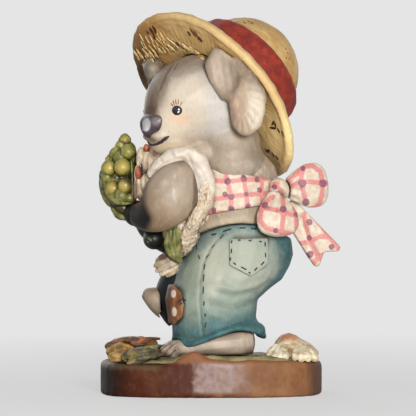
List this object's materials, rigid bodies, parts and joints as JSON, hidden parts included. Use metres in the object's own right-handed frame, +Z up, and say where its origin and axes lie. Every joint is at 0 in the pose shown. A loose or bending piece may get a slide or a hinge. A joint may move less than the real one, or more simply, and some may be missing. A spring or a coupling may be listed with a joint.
{
  "type": "koala figurine",
  "caption": "Painted wood-carving of a striding koala in a straw hat, gingham top and jeans, with flowers in its arms, on a flat slice of wood.",
  "frame": {"origin": "Centre of the flat underside of the wooden slice, on the surface the figurine stands on.", "axes": "+Z is up. The koala walks towards -X. Its left side, the side the picture shows, faces -Y."},
  "size_m": [0.064, 0.0505, 0.1003],
  "materials": {
    "stained_wood": "brown stain and satin varnish over upright grain",
    "olive_paint": "matte olive paint, dabbed",
    "grey_fur_paint": "satin grey-beige paint with soft brushwork",
    "cream_fur_paint": "stippled cream paint",
    "denim_paint": "teal paint rubbed pale on the raised parts, dark stitch marks",
    "patch_paint": "orange-brown paint with white dots and black stitches",
    "gingham_paint": "cream paint with pink stripes and plum dots where they cross",
    "cream_cloth_paint": "cream paint, satin",
    "straw_paint": "golden straw paint with brown ticks, low gloss varnish",
    "red_band_paint": "mottled brick-red paint",
    "dark_nose_paint": "dark purple-brown gloss paint with a grey highlight",
    "bud_green_paint": "olive-green to yellow paint, low gloss",
    "leaf_green_paint": "green paint, low gloss",
    "petal_white_paint": "off-white paint",
    "flower_orange_paint": "orange paint",
    "leaf_yellow_paint": "ochre-yellow paint",
    "bare_wood": "bare planed wood, hidden inside"
  },
  "bodies": {
    "root": {"base_slab": "stained_wood", "belly_fur": "cream_fur_paint", "bodice": "gingham_paint", "bow_knot": "gingham_paint", "bow_tail": "gingham_paint", "bud_cluster": "bud_green_paint", "bud_leaf_left": "leaf_green_paint", "bud_leaf_low": "leaf_green_paint", "bud_leaf_right": "leaf_green_paint", "daisy_high": "petal_white_paint", "daisy_high_centre": "flower_orange_paint", "daisy_low": "petal_white_paint", "daisy_low_centre": "flower_orange_paint", "fallen_blossom": "cream_cloth_paint", "fallen_petal_left": "cream_cloth_paint", "fallen_petal_right": "cream_cloth_paint", "far_arm": "grey_fur_paint", "far_bow_loop": "gingham_paint", "far_bow_tail": "gingham_paint", "far_ear": "grey_fur_paint", "far_foot": "grey_fur_paint", "far_frill": "cream_cloth_paint", "far_paw": "grey_fur_paint", "far_pocket": "denim_paint", "far_trouser_leg": "denim_paint", "foot_dowel": "bare_wood", "ground_leaf_green": "leaf_green_paint", "ground_leaf_orange": "flower_orange_paint", "ground_leaf_yellow": "leaf_yellow_paint", "ground_turf": "olive_paint", "hanging_blossom": "cream_cloth_paint", "hanging_leaf": "leaf_green_paint", "hat_band": "red_band_paint", "hat_brim": "straw_paint", "hat_crown": "straw_paint", "hat_dowel": "bare_wood", "head": "grey_fur_paint", "knee_patch": "patch_paint", "near_arm": "grey_fur_paint", "near_bow_loop": "gingham_paint", "near_ear": "grey_fur_paint", "near_foot": "grey_fur_paint", "near_frill": "cream_cloth_paint", "near_paw": "grey_fur_paint", "near_pocket": "denim_paint", "neck_dowel": "bare_wood", "nose": "dark_nose_paint", "stem_bundle": "leaf_green_paint", "torso": "grey_fur_paint", "trousers": "denim_paint"}
  },
  "joints": []
}
